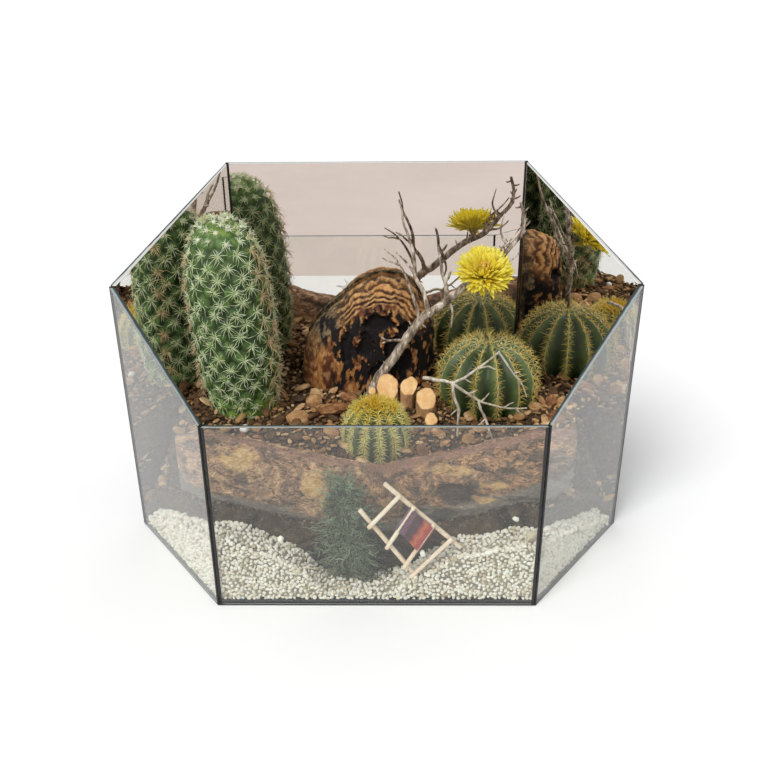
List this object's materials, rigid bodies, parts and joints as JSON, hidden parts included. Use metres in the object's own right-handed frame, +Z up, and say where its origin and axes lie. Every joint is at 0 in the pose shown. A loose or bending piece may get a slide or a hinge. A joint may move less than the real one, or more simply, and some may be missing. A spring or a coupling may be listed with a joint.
{
  "type": "glass plant terrarium",
  "caption": "Open six-sided glass tank with a rising rim and mirrored rear panes, planted with cacti, a dry branch and a flower between wood, gravel and stones.",
  "frame": {"origin": "centre of the tank's box, on the surface it stands on", "axes": "+Z up; +X to the right along the tank's length, seen from the front; +Y from the front pane to the back mirror"},
  "size_m": [0.3358, 0.1704, 0.238],
  "materials": {
    "clear_glass": "clear float glass with polished, faintly green edges",
    "mirror_glass": "silvered mirror, bright on its inner side",
    "black_sealant": "black silicone sealant, satin",
    "white_gravel": "small off-white gravel, matte",
    "dark_soil": "dark brown soil with bark crumbs, matte",
    "bark": "rough bark over weathered wood, matte",
    "stump_wood": "burnt orange-brown wood with wavy ridges, matte",
    "cactus_green": "waxy green skin with clusters of cream spines",
    "barrel_green": "waxy dark green ribs edged with golden spines",
    "small_green": "yellow-green skin under dense fine yellow spines",
    "yellow_petal": "thin papery bright yellow petals",
    "driftwood": "dry grey-brown branch, matte",
    "pale_twig_wood": "pale dry twig, matte",
    "cut_wood": "sawn tan wood inside thin dark bark",
    "tan_stone": "rough tan stone, matte",
    "white_stone": "smooth white pebble",
    "moss_green": "fine dull dark green leaves",
    "ladder_wood": "bare pale sticks",
    "woven_cloth": "coarse woven cloth in purple, red and orange"
  },
  "bodies": {
    "root": {"front_pane": "clear_glass", "front_right_pane": "clear_glass", "front_left_pane": "clear_glass", "back_mirror": "mirror_glass", "rear_right_mirror": "mirror_glass", "rear_left_mirror": "mirror_glass", "corner_seam_front_left": "black_sealant", "corner_seam_front_right": "black_sealant", "corner_seam_side_right": "black_sealant", "corner_seam_back_right": "black_sealant", "corner_seam_back_left": "black_sealant", "corner_seam_side_left": "black_sealant", "base_seam_front": "black_sealant", "base_seam_front_right": "black_sealant", "base_seam_rear_right": "black_sealant", "base_seam_back": "black_sealant", "base_seam_rear_left": "black_sealant", "base_seam_front_left": "black_sealant", "base_pane": "clear_glass", "gravel_bed": "white_gravel", "soil_bed": "dark_soil", "log": "bark", "stump": "stump_wood", "tall_cactus": "cactus_green", "barrel_cactus": "barrel_green", "small_cactus": "small_green", "flower": "yellow_petal", "branch": "driftwood", "pale_twig": "pale_twig_wood", "cut_wood_1": "cut_wood", "cut_wood_2": "cut_wood", "cut_wood_3": "cut_wood", "cut_wood_4": "cut_wood", "cut_wood_5": "cut_wood", "tan_stone_1": "tan_stone", "tan_stone_2": "tan_stone", "tan_stone_3": "tan_stone", "bark_plate": "bark", "white_pebble": "white_stone", "bark_chip_1": "bark", "bark_chip_2": "bark", "bark_chip_3": "bark", "moss_plant": "moss_green", "ladder_rail_left": "ladder_wood", "ladder_rail_right": "ladder_wood", "ladder_rung_1": "ladder_wood", "ladder_rung_2": "ladder_wood", "ladder_rung_3": "ladder_wood", "ladder_rung_4": "ladder_wood", "ladder_cloth": "woven_cloth"}
  },
  "joints": []
}
